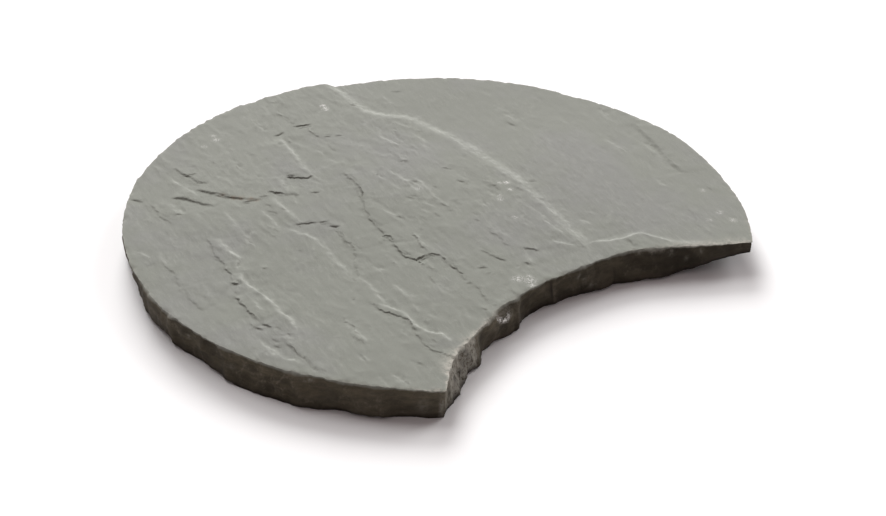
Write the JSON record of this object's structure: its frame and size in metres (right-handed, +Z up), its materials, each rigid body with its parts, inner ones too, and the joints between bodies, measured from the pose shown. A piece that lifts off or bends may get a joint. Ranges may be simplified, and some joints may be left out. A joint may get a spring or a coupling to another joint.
{
  "type": "half-moon stepping stone",
  "caption": "Riven natural sandstone slab, a disc with a round bite out of its edge so that the next slab nests in it. Laid flat as a garden stepping stone.",
  "frame": {"origin": "the disc's centre, on the flat bed that lies on the ground", "axes": "+Z up through the slab's thickness, -Y towards the middle of the bite, +X towards the right horn"},
  "size_m": [0.4588, 0.4024, 0.0238],
  "materials": {
    "sandstone": "riven grey sandstone, matt, with dark brown hammer-dressed sides"
  },
  "bodies": {
    "root": {"stone": "sandstone"}
  },
  "joints": []
}
